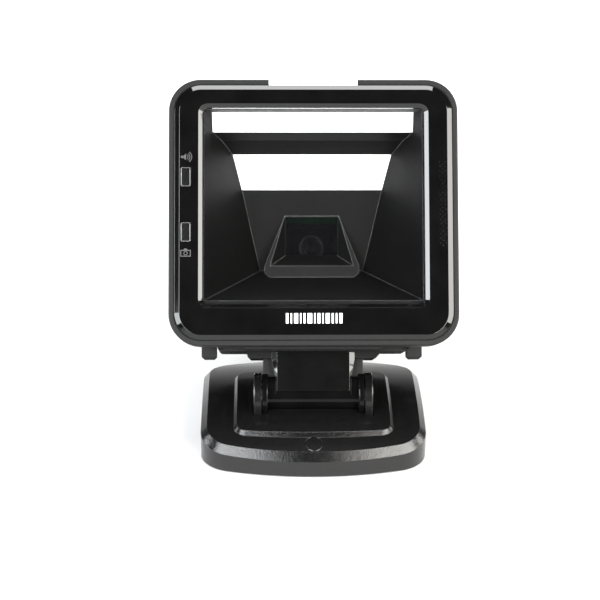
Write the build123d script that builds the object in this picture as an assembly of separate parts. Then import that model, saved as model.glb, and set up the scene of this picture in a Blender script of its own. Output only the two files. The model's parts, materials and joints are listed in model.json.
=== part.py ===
from build123d import *
from math import atan2, degrees, hypot, sqrt
import os

# Hands-free desktop barcode scanner, in millimetres.
# +X is the scanner's left-to-right as seen from the front, -Y is the front, +Z is up.
# The origin is the centre of the foot's resting face.
# The head is drawn upright in face coordinates (u across, s back from the rim, v up),
# then leaned back about the tilt hinge.

# Foot
FOOT_W, FOOT_FRONT, FOOT_BACK = 118.2, -53.9, 51.7
FOOT_BOWS = (10.0, 12.0)
FOOT_CORNER_R = 18.4
CROWN_Z = 22.1
CROWN_R_Y, CROWN_R_X = 160.0, 1200.0
EDGE_CHAMFER = 3.3
SKIRT_Z = 0.9
SHELL = 2.5
FIT = 0.3
PAD_T = 1.5
PLATE_T = 1.6
PLATE_TOP = PAD_T + PLATE_T
DECK_W, DECK_FRONT, DECK_BACK = 83.6, -41.0, 24.0
DECK_BOWS = (2.8, 2.2)
DECK_R, DECK_RISE, DECK_BEVEL = 7.0, 1.9, 1.6
BED_BOTTOM, BED_W, BED_D = 12.6, 68.8, 29.2
POST_X, POST_Y, POST_R = 45.0, 31.0, 3.6
CAP_Y, CAP_R, CAP_RECESS, CAP_SEAT = -45.5, 4.5, 2.4, 4.6
WEIGHT_W, WEIGHT_D, WEIGHT_TOP = 78.0, 58.0, 10.4

# Tilt hinge
HINGE_Y, HINGE_Z = -14.0, 27.0
LEAN = 30.0
SHAFT_R = 3.0
RUNNING = 0.05
EAR_IN, EAR_T, EAR_R = 27.3, 4.0, 11.8
EAR_WELL_R, EAR_WELL_D = 6.2, 2.6
EAR_BOTTOM, POCKET_GAP = 15.3, 0.3
EAR_SCREW_DY = 8.0
DISC_IN, DISC_OUT, DISC_R = 24.0, 27.0, 11.4
BED_GAP = 0.4
BARREL_R = 8.0
WASHER_R, WASHER_FLOOR = 6.0, 26.5

# Neck
PANEL_FRONT, PANEL_BACK = -9.8, -8.1
PANEL_Z0, PANEL_Z1 = 2.0, 22.4
PANEL_W = 38.0
PANEL_BACK_HALVES = ((0, 19.4), (4.3, 19.5), (8.8, 20.5), (16.7, 21.9), (20.4, 21.9))
CHEEK_IN, CHEEK_FRONT, CHEEK_TOP, CHEEK_R = 19.9, -7.8, 9.5, 4.5
CORE_W, CORE_Y0, CORE_Y1 = 40.0, -8.0, 6.0
NECK_TOP = 19.1
REAR_COVER_W, REAR_COVER_Y0, REAR_COVER_Y1, REAR_COVER_Z0 = 52.8, -3.0, 9.5, 5.5
COVER_SCREW_X, COVER_SCREW_Z = 6.0, 12.0
PLATE_W, NECK_PLATE_T = 69.5, 3.7
PLATE_Y0, PLATE_Y1 = -8.0, 24.0

# Head
HEAD_W, HEAD_H, HEAD_R = 150.0, 138.5, 16.5
HEAD_DEPTH = 72.0
RIM_DEPTH = 14.0
BACK_W, BACK_H, BACK_V, BACK_R = 124.0, 110.0, -11.0, 20.0
BACK_S = 66.0
FACE_Y = -29.3
FACE_Z = 24.7 + HEAD_H / 2
BELLY_DROP, BELLY_W, BELLY_S0, BELLY_S1 = 1.8, 100.0, 12.0, 60.0
HEAD_FOOT_U, HEAD_FOOT_S, HEAD_FOOT_HALF, HEAD_FOOT_DROP = 55.6, 53.0, 4.1, 5.0

# Bezel, window and keys
BEZEL_W, BEZEL_H, BEZEL_R = 144.0, 132.5, 14.0
BEZEL_FRONT, BEZEL_BACK = -1.8, 3.2
BEZEL_SLOPE_W, BEZEL_SLOPE_D, BEZEL_EDGE_R = 2.6, 1.3, 0.4
WINDOW_W, WINDOW_H, WINDOW_V, WINDOW_R = 115.2, 102.2, 3.3, 3.0
WINDOW_BEVEL = 2.0
PANE_LAP, PANE_T, GASKET_T = 2.4, 1.5, 0.9
PANE_S = BEZEL_BACK + 0.1
MOUTH_S = PANE_S + PANE_T + GASKET_T
KEY_U, KEY_W, KEY_H = -66.1, 5.0, 10.0
KEY_VS = {"volume_key": 18.0, "camera_key": -10.6}
KEY_GAP, KEY_TRAVEL, KEY_PROUD = 0.25, 0.6, 0.8
GRILLE_U, GRILLE_COLUMN, GRILLE_PITCH, GRILLE_R = 67.1, 1.35, 2.5, 0.45
GRILLE_ROWS, GRILLE_V = 18, 3.4
STATUS_W, STATUS_DEPTH, STATUS_T = 46.2, 12.0, 2.9

# Funnel behind the window
BAFFLE_T = 1.8
MOUTH_HALF, SIDE_SLOPE, SLOPE_S = 58.0, 0.625, 4.0
STRIP_TOP, STRIP_LOW = (12.0, 54.3), (12.6, 43.8)
LEDGE, BEAM_LOW = (19.7, 40.7), (28.5, 34.6)
GLOW_TOP, GLOW_LOW = (29.0, 34.5), (36.5, 16.5)
BACK_LOW = (52.0, -25.9)
FLOOR_MOUTH = (4.0, -46.2)
HOOD_S, HOOD_TOP_V, HOOD_LOW_V, HOOD_LIP_V = 41.3, 3.0, -24.1, -30.3
HOOD_TOP_HALF, HOOD_IN_HALF, HOOD_OUT_HALF = 14.6, 22.5, 25.6
SIGHT_HALF, SIGHT_TOP_V, SIGHT_LOW_V = 14.25, 2.4, -17.9
LENS_V, LENS_S, LENS_R, LENS_L = -13.0, 52.2, 7.1, 6.5
HOLDER_R, CAMERA_BOARD_S = 10.4, 61.0

# Boards, socket and fasteners
BOARD_T = 1.4
MAIN_S, MAIN_W, MAIN_H = 64.6, 92.0, 70.0
MAIN_SCREW_U, MAIN_SCREW_V = 41.0, 30.0
SOCKET_V, SOCKET_W, SOCKET_H, SOCKET_L = -48.0, 15.6, 13.0, 16.0
JACK_W, JACK_H, JACK_DEPTH, CONTACTS = 11.8, 7.0, 12.0, 10
WELL_U, WELL_TOP_V, WELL_LOW_V = 63.4, 56.0, -59.0
WELL_R, WELL_WALL, WELL_S = 3.2, 1.6, 18.0
SCREW_R, HEAD_SCREW_R, SCREW_HEAD_T = 1.5, 2.8, 1.8

MIN3 = (Align.MIN, Align.MIN, Align.MIN)
STAND_UP = (Align.CENTER, Align.CENTER, Align.MIN)


def save(name, *shapes):
    """Writes one node, which may hold several separate solids."""
    solids = [solid for shape in shapes for solid in shape.solids()]
    export_step(solids[0] if len(solids) == 1 else Compound(solids), f"parts/{name}.step")


def block(x, y, z):
    """A box from three (low, high) pairs."""
    return Pos(x[0], y[0], z[0]) * Box(x[1] - x[0], y[1] - y[0], z[1] - z[0], align=MIN3)


def rod(radius, height, x=0.0, y=0.0, z=0.0):
    """An upright cylinder that starts at z."""
    return Pos(x, y, z) * Cylinder(radius, height, align=STAND_UP)


def cross_rod(radius, x0, x1, y=0.0, z=0.0):
    """A cylinder along X."""
    return Pos(x0, y, z) * Rot(0, 90, 0) * Cylinder(radius, x1 - x0, align=STAND_UP)


def face_plane(u=0.0, s=0.0, v=0.0):
    """A plane parallel to the head's face whose normal points to the front."""
    return Plane((u, s, v), x_dir=(1, 0, 0), z_dir=(0, -1, 0))


def slab(sketch, s0, s1, u=0.0, v=0.0):
    """A sketch in the face's plane, thickened from depth s0 back to s1."""
    return extrude(face_plane(u, s1, v) * sketch, s1 - s0)


def slab_rounded(width, height, radius, s0, s1, u=0.0, v=0.0):
    return slab(RectangleRounded(width, height, radius), s0, s1, u, v)


def polygon(points):
    return make_face(Polyline(*points, close=True))


def side_prism(points, half_width):
    """A side profile of (s, v) points, widened both ways along u."""
    return extrude(Plane.YZ * polygon(points), half_width, both=True)


def plan_prism(points, half_height=80.0):
    """A plan of (u, s) points, thickened both ways along v."""
    return extrude(polygon(points), half_height, both=True)


def on_neck(shape):
    """Puts a piece drawn about the hinge axis at its place."""
    return Pos(0, HINGE_Y, HINGE_Z) * Rot(-LEAN, 0, 0) * shape


def on_head(shape):
    """Puts a piece drawn in face coordinates at its place."""
    return on_neck(Pos(0, FACE_Y, FACE_Z) * shape)


def screw(length, radius=SCREW_R, head_r=HEAD_SCREW_R, head_t=SCREW_HEAD_T):
    """A pan screw with its head's seat at z=0, its shank down and a cross recess on top."""
    body = rod(head_r, head_t) + rod(radius, length, z=-length)
    body = fillet(body.edges().group_by(Axis.Z)[-1], head_t * 0.35)
    for turn in (0, 90):
        body -= Pos(0, 0, head_t) * Rot(0, 0, turn) * Box(head_r * 1.2, head_r * 0.3, head_t)
    return body


def flat_screw(length, radius=1.25, head_r=2.5, head_t=1.4):
    """A countersunk screw that points up, with its flat head at z=0."""
    body = Pos(0, 0, head_t / 2) * Cone(head_r, radius, head_t) + rod(radius, length)
    for turn in (0, 90):
        body -= Rot(0, 0, turn) * Box(head_r * 1.1, head_r * 0.3, head_t)
    return body


# ---------------------------------------------------------------- foot

def bowed_outline(width, front, back, bows, corner_r):
    """A plan with straight sides, bowed front and back, and round corners."""
    half = width / 2
    ahead, behind = front + bows[0], back - bows[1]
    edges = [ThreePointArc((-half, ahead), (0, front), (half, ahead)),
             Line((half, ahead), (half, behind)),
             ThreePointArc((half, behind), (0, back), (-half, behind)),
             Line((-half, behind), (-half, ahead))]
    face = make_face(edges)
    return fillet(face.vertices(), corner_r)


def foot_outline(inset=0.0):
    return bowed_outline(FOOT_W - 2 * inset, FOOT_FRONT + inset, FOOT_BACK - inset, FOOT_BOWS,
                         FOOT_CORNER_R - inset)


def under_crown(lift=0.0):
    """Everything under the foot's crowned top, raised by lift."""
    top = CROWN_Z + lift
    reach, depth, swing = 80.0, -12.0, 25.0
    end = top - CROWN_R_X + sqrt(CROWN_R_X**2 - reach**2)
    arc = ThreePointArc((reach, end), (0, top), (-reach, end))
    box = Polyline((-reach, end), (-reach, depth), (reach, depth), (reach, end))
    axis = Axis((0, 0, top - CROWN_R_Y), (1, 0, 0))
    section = (Plane.XZ * make_face([arc, box])).rotate(axis, -swing)
    return revolve(section, axis, 2 * swing)


def crown_height(y, x=0.0):
    """Height of the foot's top at a place."""
    fall_y = CROWN_R_Y - sqrt(CROWN_R_Y**2 - y**2)
    fall_x = CROWN_R_X - sqrt(CROWN_R_X**2 - x**2)
    return CROWN_Z - fall_y - fall_x


def saddle():
    """The trough under the barrel and its end discs, and a pocket for each ear."""
    trough = cross_rod(BARREL_R + BED_GAP, -EAR_IN, EAR_IN, HINGE_Y, HINGE_Z)
    reach = EAR_R + POCKET_GAP
    for side in (-1, 1):
        ends = sorted((side * (DISC_IN - BED_GAP), side * EAR_IN))
        trough += cross_rod(DISC_R + BED_GAP, *ends, HINGE_Y, HINGE_Z)
        pocket = sorted((side * (EAR_IN - POCKET_GAP), side * (EAR_IN + EAR_T + 2 * POCKET_GAP)))
        trough += block(pocket, (HINGE_Y - reach, HINGE_Y + reach),
                        (EAR_BOTTOM - POCKET_GAP, HINGE_Z + 20))
    return trough


def ear_screw_places():
    return [(side * (EAR_IN + EAR_T / 2), HINGE_Y + dy) for side in (-1, 1)
            for dy in (-EAR_SCREW_DY, EAR_SCREW_DY)]


def base_cover():
    top = CROWN_Z + 10
    shell = Pos(0, 0, SKIRT_Z) * extrude(foot_outline(), top) & under_crown()
    shell = chamfer(shell.faces().sort_by(Axis.Z)[-1].edges(), EDGE_CHAMFER)
    plan = bowed_outline(DECK_W, DECK_FRONT, DECK_BACK, DECK_BOWS, DECK_R)
    deck = Pos(0, 0, 5) * extrude(plan, top) & under_crown(DECK_RISE)
    deck = chamfer(deck.faces().sort_by(Axis.Z)[-1].edges(), DECK_BEVEL)
    hollow = extrude(foot_outline(SHELL), top) & under_crown(-SHELL)
    hollow -= block((-BED_W / 2, BED_W / 2), (HINGE_Y - BED_D / 2, HINGE_Y + BED_D / 2),
                    (BED_BOTTOM, top))
    cover = shell + deck - hollow
    for x in (-POST_X, POST_X):
        for y in (-POST_Y, POST_Y):
            post = rod(POST_R, top, x, y, PLATE_TOP) & under_crown(-1)
            cover = cover + post - rod(1.25, 8.0, x, y, PLATE_TOP)
    cover += rod(CAP_R + 2, top, 0, CAP_Y, PLATE_TOP) & shell
    surface = crown_height(CAP_Y)
    cover -= rod(CAP_R + 0.25, 10, 0, CAP_Y, surface - CAP_RECESS)
    cover -= rod(3.1, 10, 0, CAP_Y, surface - CAP_SEAT)
    cover -= rod(SCREW_R, top, 0, CAP_Y, 0)
    for x, y in ear_screw_places():
        cover -= rod(1.3, top, x, y, 5)
    return cover - saddle()


def screw_cover_cap():
    floor = crown_height(CAP_Y) - CAP_RECESS + 0.1
    cap = rod(CAP_R, 8, 0, CAP_Y, floor) & under_crown(-0.05)
    return chamfer(cap.faces().sort_by(Axis.Z)[-1].edges(), 0.25)


def cap_screw():
    """The screw under the cap, down into the plate."""
    seat = crown_height(CAP_Y) - CAP_SEAT
    return Pos(0, CAP_Y, seat) * screw(seat - PAD_T - 0.4, head_t=1.8)


def base_plate():
    plate = extrude(foot_outline(SHELL + FIT), PLATE_T)
    plate = Pos(0, 0, PAD_T) * plate
    plate -= rod(SCREW_R, 10, 0, CAP_Y, 0)
    for x in (-POST_X, POST_X):
        for y in (-POST_Y, POST_Y):
            plate -= Pos(x, y, PAD_T + 0.7) * Cone(2.5, 1.25, 1.4)
            plate -= rod(1.25, PLATE_T, x, y, PAD_T)
    return plate


def base_pad():
    pad = extrude(foot_outline(SHELL + FIT), PAD_T)
    return chamfer(pad.edges().group_by(Axis.Z)[0], 0.5)


def base_weight():
    slab_top = WEIGHT_TOP - PLATE_TOP
    weight = extrude(RectangleRounded(WEIGHT_W, WEIGHT_D, 5), slab_top)
    weight = chamfer(weight.edges().group_by(Axis.Z)[-1], 1.0)
    return Pos(0, 1, PLATE_TOP) * weight


def ear(side):
    """One upright lug that carries an end of the hinge shaft."""
    inner, outer = EAR_IN, EAR_IN + EAR_T
    body = cross_rod(EAR_R, inner, outer, HINGE_Y, HINGE_Z)
    body += block((inner, outer), (HINGE_Y - EAR_R, HINGE_Y + EAR_R), (EAR_BOTTOM, HINGE_Z))
    body = chamfer(body.faces().sort_by(Axis.X)[-1].edges(), 0.6)
    body -= cross_rod(SHAFT_R, inner - 1, outer + 1, HINGE_Y, HINGE_Z)
    body -= cross_rod(EAR_WELL_R, outer - EAR_WELL_D, outer + 1, HINGE_Y, HINGE_Z)
    body = mirror(body, Plane.YZ) if side < 0 else body
    for x, y in ear_screw_places():
        body -= rod(1.2, 10, x, y, 14)
    return body


def ear_screws():
    """Screws from under the deck up into the ears."""
    upside_down = Rot(180, 0, 0) * screw(11.2, 1.2, 2.4, 1.4)
    return [Pos(x, y, BED_BOTTOM) * upside_down for x, y in ear_screw_places()]


def hinge_shaft():
    reach = EAR_IN + EAR_T - 1.0
    shaft = cross_rod(SHAFT_R, -reach, reach)
    shaft = chamfer(shaft.edges(), 0.4)
    return Pos(0, HINGE_Y, HINGE_Z) * shaft


def both_ends(make):
    """A piece made for the right end and its mirror image at the left end."""
    right = Pos(0, HINGE_Y, HINGE_Z) * make()
    return [right, mirror(right, Plane.YZ)]


WELL_FLOOR = EAR_IN + EAR_T - EAR_WELL_D


def spring_washer():
    """A dished washer under the nut."""
    ring = Pos(WELL_FLOOR, 0, 0) * Rot(0, 90, 0) * Cone(5.4, 4.4, 0.45, align=STAND_UP)
    return ring - cross_rod(SHAFT_R, 0, 40)


def lock_nut():
    nut = extrude(RegularPolygon(4.4, 6, major_radius=False), 1.2)
    nut = Pos(WELL_FLOOR + 0.45, 0, 0) * Rot(0, 90, 0) * nut
    return nut - cross_rod(SHAFT_R, 0, 40)


def end_cap():
    """A round cover pressed into the ear's well."""
    outer = EAR_IN + EAR_T
    cap = cross_rod(EAR_WELL_R, outer - 0.85, outer + 0.25)
    cap = fillet(cap.edges().group_by(Axis.X)[-1], 0.5)
    return cap - cross_rod(SHAFT_R + 0.4, 0, outer - 0.55)


def friction_washer():
    return cross_rod(WASHER_R, WASHER_FLOOR + RUNNING, EAR_IN) - cross_rod(SHAFT_R, 0, 40)


# ---------------------------------------------------------------- neck, about the hinge axis

def arm_frame():
    """Barrel with end discs and the core that carries the head."""
    frame = cross_rod(BARREL_R, -DISC_IN, DISC_IN)
    half = CORE_W / 2
    frame += block((-half, half), (CORE_Y0, CORE_Y1), (0, NECK_TOP))
    for side in (-1, 1):
        cheek = block(sorted((side * CHEEK_IN, side * DISC_IN)), (CHEEK_FRONT, CORE_Y1),
                      (0, CHEEK_TOP))
        frame += fillet(cheek.edges().filter_by(Axis.X).group_by(Axis.Z)[-1].sort_by(Axis.Y)[0],
                        CHEEK_R)
        disc = cross_rod(DISC_R, *sorted((side * DISC_IN, side * DISC_OUT)))
        disc = chamfer(disc.edges(), 0.4)
        frame += disc
        pocket = sorted((side * WASHER_FLOOR, side * (DISC_OUT + 1)))
        frame -= cross_rod(WASHER_R + 0.3, *pocket)
        boss = Pos(side * COVER_SCREW_X, 0, COVER_SCREW_Z) * Rot(90, 0, 0)
        frame -= boss * Cylinder(3.2, 40)
        frame -= rod(2.0, 12, side * 15.5, -3, NECK_TOP - 10)
    return frame - cross_rod(SHAFT_R + RUNNING, -40, 40)


def arm_front_cover():
    """Gloss panel whose side bevels narrow towards the barrel, with two screw bosses."""
    levels = [z for z, half in PANEL_BACK_HALVES]
    front = [(PANEL_W / 2, z) for z in levels] + [(-PANEL_W / 2, z) for z in levels[::-1]]
    back = [(half, z) for z, half in PANEL_BACK_HALVES]
    back += [(-half, z) for z, half in PANEL_BACK_HALVES[::-1]]
    panel = loft([face_plane(0, PANEL_FRONT, PANEL_Z0) * polygon(front),
                  face_plane(0, PANEL_BACK, PANEL_Z0) * polygon(back)], ruled=True)
    for side in (-1, 1):
        boss = slab(Circle(3.0), PANEL_BACK, 1.0, side * COVER_SCREW_X, COVER_SCREW_Z)
        pilot = slab(Circle(1.25), PANEL_BACK, 2.0, side * COVER_SCREW_X, COVER_SCREW_Z)
        panel = panel + boss - pilot
    return panel


def arm_rear_cover():
    half = REAR_COVER_W / 2
    cover = block((-half, half), (REAR_COVER_Y0, REAR_COVER_Y1), (REAR_COVER_Z0, NECK_TOP))
    rear = cover.edges().filter_by(Axis.Z).group_by(Axis.Y)[-1]
    cover = fillet(rear, 3.5)
    core = CORE_W / 2 + 0.1
    cover -= block((-core, core), (-20, CORE_Y1 + 0.1), (-5, 40))
    cover -= cross_rod(BARREL_R + 0.1, -40, 40)
    cover -= block((-DISC_IN - 0.1, DISC_IN + 0.1), (-20, CORE_Y1 + 0.1), (-5, CHEEK_TOP + 0.1))
    for side in (-1, 1):
        cover -= cross_rod(DISC_R + 0.1, *sorted((side * (DISC_IN - 0.1), side * 40)))
        place = (side * COVER_SCREW_X, COVER_SCREW_Z)
        cover -= slab(Circle(1.5), 0, 20, *place)
        cover -= slab(Circle(3.1), REAR_COVER_Y1 - 1.6, 20, *place)
    return cover


def arm_screws():
    found = []
    for side in (-1, 1):
        out = Plane((side * COVER_SCREW_X, REAR_COVER_Y1 - 1.6, COVER_SCREW_Z),
                    x_dir=(1, 0, 0), z_dir=(0, 1, 0))
        found.append(out.location * screw(13.5, 1.25, 2.8, 1.4))
    return found


def neck_screw_places():
    return [(u, y) for u in (-29.0, 29.0) for y in (-3.0, 19.0)]


def neck_plate():
    low, top = NECK_TOP + 0.1, NECK_TOP + 0.1 + NECK_PLATE_T
    plate = block((-PLATE_W / 2, PLATE_W / 2), (PLATE_Y0, PLATE_Y1), (low, top))
    plate = chamfer(plate.edges().group_by(Axis.Z)[0].filter_by(Axis.Y), 1.8)
    for x, y in neck_screw_places():
        plate -= rod(SCREW_R, 10, x, y, low - 1)
        plate -= rod(3.0, 1.9, x, y, low - 0.1)
    for x in (-15.5, 15.5):
        plate -= rod(2.0, 10, x, -3, low - 1)
        plate -= rod(3.6, 5, x, -3, top - 2.2)
    return plate


def neck_plate_screws():
    """Screws up through the neck plate into the head."""
    seat = NECK_TOP + 0.1 + 1.8
    return [Pos(x, y, seat) * Rot(180, 0, 0) * screw(5.0, head_t=1.6)
            for x, y in neck_screw_places()]


def arm_bolts():
    """Bolts down through the neck plate into the arm's core."""
    seat = NECK_TOP + 0.1 + NECK_PLATE_T - 2.2
    return [Pos(x, -3, seat) * screw(10.0, 2.0, 3.4, 2.0) for x in (-15.5, 15.5)]


# ---------------------------------------------------------------- head, in face coordinates

def head_form(inset, s0, s1):
    """The head's outer form drawn in by inset, from depth s0 back to s1."""
    front = RectangleRounded(HEAD_W - 2 * inset, HEAD_H - 2 * inset, HEAD_R - inset)
    back = RectangleRounded(BACK_W - 2 * inset, BACK_H - 2 * inset, BACK_R - inset)
    sections = [face_plane(0, s0) * front, face_plane(0, RIM_DEPTH) * front,
                face_plane(0, BACK_S, BACK_V) * back, face_plane(0, s1, BACK_V) * back]
    return loft(sections, ruled=True)


def screw_wells():
    """Places of the deep wells for the screws that hold bezel and housing together."""
    return [(u, v) for u in (-WELL_U, WELL_U) for v in (WELL_TOP_V, WELL_LOW_V)]


def rear_housing():
    outer = head_form(0, 0, HEAD_DEPTH)
    outer = fillet(outer.faces().sort_by(Axis.Y)[-1].edges(), 5.0)
    outer = chamfer(outer.faces().sort_by(Axis.Y)[0].edges(), 0.6)
    low = -HEAD_H / 2 - BELLY_DROP
    belly = block((-BELLY_W / 2, BELLY_W / 2), (BELLY_S0, BELLY_S1), (low, -HEAD_H / 2 + 8))
    belly = chamfer(belly.edges().group_by(Axis.Z)[0], 1.0)
    inner = head_form(SHELL, -5, HEAD_DEPTH - SHELL)
    housing = outer + belly - inner
    housing += slab_rounded(HEAD_W - 2, HEAD_H - 2, HEAD_R - 1, 0.5, 5.0)
    housing -= slab_rounded(BEZEL_W + 0.3, BEZEL_H + 0.3, BEZEL_R + 0.15, -5, 6.0)
    for u, v in screw_wells():
        wall = slab(Circle(WELL_R + WELL_WALL), WELL_S - 2, HEAD_DEPTH, u, v) & outer
        housing += wall
    for u, v in screw_wells():
        housing -= slab(Circle(WELL_R), WELL_S, HEAD_DEPTH + 5, u, v)
        housing -= slab(Circle(SCREW_R + 0.1), 0, WELL_S + 1, u, v)
    for u in (-MAIN_SCREW_U, MAIN_SCREW_U):
        for v in (-MAIN_SCREW_V, MAIN_SCREW_V):
            post = slab(Circle(3.0), MAIN_S + BOARD_T, HEAD_DEPTH - 1, u, v)
            housing = housing + post - slab(Circle(1.1), 0, HEAD_DEPTH - 2.2, u, v)
    notch = block((-STATUS_W / 2, STATUS_W / 2), (-1, STATUS_DEPTH + 0.1), (60, 80))
    housing -= notch
    housing -= slab_rounded(SOCKET_W - 2.0, SOCKET_H - 2.6, 1, 60, 80, 0, SOCKET_V)
    for side in (-1, 1):
        slot = sorted((side * 35.5, side * 49.6))
        housing -= block(slot, (BELLY_S0 - 1, BELLY_S0 + 7), (low - 1, low + 1.6))
    for x, y in neck_screw_places():
        housing -= rod(SCREW_R, 6.0, x, y - FACE_Y, low - 1)
    return housing


def front_bezel():
    shoulder, inset = BEZEL_FRONT + BEZEL_SLOPE_D, BEZEL_SLOPE_W
    bezel = slab_rounded(BEZEL_W, BEZEL_H, BEZEL_R, shoulder, BEZEL_BACK)
    crest = RectangleRounded(BEZEL_W - 2 * inset, BEZEL_H - 2 * inset, BEZEL_R - inset)
    skirt = RectangleRounded(BEZEL_W, BEZEL_H, BEZEL_R)
    bezel += loft([face_plane(0, BEZEL_FRONT) * crest, face_plane(0, shoulder) * skirt],
                  ruled=True)
    bezel = fillet(bezel.faces().sort_by(Axis.Y)[0].edges(), BEZEL_EDGE_R)
    rim = bezel.edges().filter_by_position(Axis.Y, shoulder - 0.01, shoulder + 0.01)
    bezel = fillet(rim, BEZEL_EDGE_R)
    mouth_w = WINDOW_W + 2 * WINDOW_BEVEL
    mouth_h = WINDOW_H + 2 * WINDOW_BEVEL
    mouth = RectangleRounded(mouth_w, mouth_h, WINDOW_R + WINDOW_BEVEL)
    throat = RectangleRounded(WINDOW_W, WINDOW_H, WINDOW_R)
    bezel -= loft([face_plane(0, BEZEL_FRONT, WINDOW_V) * mouth,
                   face_plane(0, BEZEL_FRONT + WINDOW_BEVEL, WINDOW_V) * throat])
    bezel -= slab(throat, -9, 9, 0, WINDOW_V)
    for v in KEY_VS.values():
        hole = RectangleRounded(KEY_W + 2 * KEY_GAP, KEY_H + 2 * KEY_GAP, 1.0)
        bezel -= slab(hole, -9, 9, KEY_U, v)
    for column in (-1, 0, 1):
        for row in range(GRILLE_ROWS):
            v = GRILLE_V + (row - (GRILLE_ROWS - 1) / 2 + abs(column) / 2) * GRILLE_PITCH
            bezel -= slab(Circle(GRILLE_R), -9, 9, GRILLE_U + column * GRILLE_COLUMN, v)
    for u, v in screw_wells():
        bezel += slab(Circle(3.2), BEZEL_BACK, WELL_S - 2.1, u, v)
        bezel -= slab(Circle(SCREW_R), BEZEL_BACK + 2, WELL_S, u, v)
    return bezel


def window_frame(inner_gap, outer_lap, s0, s1):
    """A flat frame around the window opening."""
    outer = RectangleRounded(WINDOW_W + 2 * outer_lap, WINDOW_H + 2 * outer_lap, WINDOW_R + 1)
    inner = RectangleRounded(WINDOW_W + 2 * inner_gap, WINDOW_H + 2 * inner_gap, WINDOW_R)
    return slab(outer - inner, s0, s1, 0, WINDOW_V)


def window_pane():
    width, height = WINDOW_W + 2 * PANE_LAP, WINDOW_H + 2 * PANE_LAP
    return slab_rounded(width, height, WINDOW_R + 1, PANE_S, PANE_S + PANE_T, 0, WINDOW_V)


def key(v):
    """A key cap with a retaining flange behind the bezel."""
    front = BEZEL_FRONT - KEY_PROUD
    cap = slab_rounded(KEY_W, KEY_H, 0.8, front, BEZEL_BACK + 1.3, KEY_U, v)
    cap = fillet(cap.faces().sort_by(Axis.Y)[0].edges(), 0.5)
    flange = slab_rounded(KEY_W + 2.4, KEY_H + 2.4, 1.2, BEZEL_BACK + FIT, BEZEL_BACK + 1.4,
                          KEY_U, v)
    return cap + flange


def status_light_bar():
    top = HEAD_H / 2
    bar = block((-STATUS_W / 2 + 0.1, STATUS_W / 2 - 0.1), (0, STATUS_DEPTH),
                (top - STATUS_T, top))
    return chamfer(bar.edges().filter_by(Axis.X).group_by(Axis.Z)[-1], 0.5)


def cavity_profile():
    """Side profile of the space inside the funnel, from just before its mouth."""
    slope = (BACK_LOW[1] - FLOOR_MOUTH[1]) / (BACK_LOW[0] - FLOOR_MOUTH[0])
    start = MOUTH_S - 1
    floor = (start, FLOOR_MOUTH[1] + (start - FLOOR_MOUTH[0]) * slope)
    return [(start, STRIP_TOP[1]), STRIP_TOP, STRIP_LOW, LEDGE, BEAM_LOW, GLOW_TOP, GLOW_LOW,
            BACK_LOW, floor]


def side_walls(grow=0.0):
    """Space between the funnel's two flat side walls, moved out by grow."""
    sections = []
    for s in (MOUTH_S - 1, 60.0):
        half = MOUTH_HALF - SIDE_SLOPE * (s - SLOPE_S) + grow * hypot(1, SIDE_SLOPE)
        sections.append((half, s))
    (near, s0), (far, s1) = sections
    return plan_prism([(-near, s0), (near, s0), (far, s1), (-far, s1)])


def along_wall(v):
    """Depth of the funnel's back wall at a height."""
    share = (GLOW_LOW[1] - v) / (GLOW_LOW[1] - BACK_LOW[1])
    return GLOW_LOW[0] + share * (BACK_LOW[0] - GLOW_LOW[0])


def wall_plate(top, low, thickness, gap=0.0):
    """A plate from the line between two (s, v) points back by its thickness."""
    length = hypot(low[0] - top[0], low[1] - top[1])
    back = ((top[1] - low[1]) / length, (low[0] - top[0]) / length)
    near = [(s + back[0] * gap, v + back[1] * gap) for s, v in (top, low)]
    far = [(s + back[0] * thickness, v + back[1] * thickness) for s, v in near]
    return side_prism([near[0], near[1], far[1], far[0]], 70)


def sight():
    """The camera's view through the hood: from its rim back to the leaning window."""
    rim = [(-HOOD_IN_HALF, HOOD_LOW_V), (HOOD_IN_HALF, HOOD_LOW_V),
           (HOOD_TOP_HALF, HOOD_TOP_V), (-HOOD_TOP_HALF, HOOD_TOP_V)]
    low, top = (along_wall(SIGHT_LOW_V), SIGHT_LOW_V), (along_wall(SIGHT_TOP_V), SIGHT_TOP_V)
    length = hypot(low[0] - top[0], low[1] - top[1])
    lean = Plane((0, low[0], low[1]), x_dir=(1, 0, 0),
                 z_dir=(0, (low[1] - top[1]) / length, (top[0] - low[0]) / length))
    pane = [(-SIGHT_HALF, 0), (SIGHT_HALF, 0), (SIGHT_HALF, length), (-SIGHT_HALF, length)]
    return face_plane(0, HOOD_S) * polygon(rim), lean * polygon(pane)


def camera_window(gap=0.0):
    """The dark pane in the leaning back wall."""
    pane = sight()[1]
    return extrude(pane, amount=-BAFFLE_T + gap)


def diffuser(top, low, gap=0.0):
    return wall_plate(top, low, BAFFLE_T) & side_walls(-gap)


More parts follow.
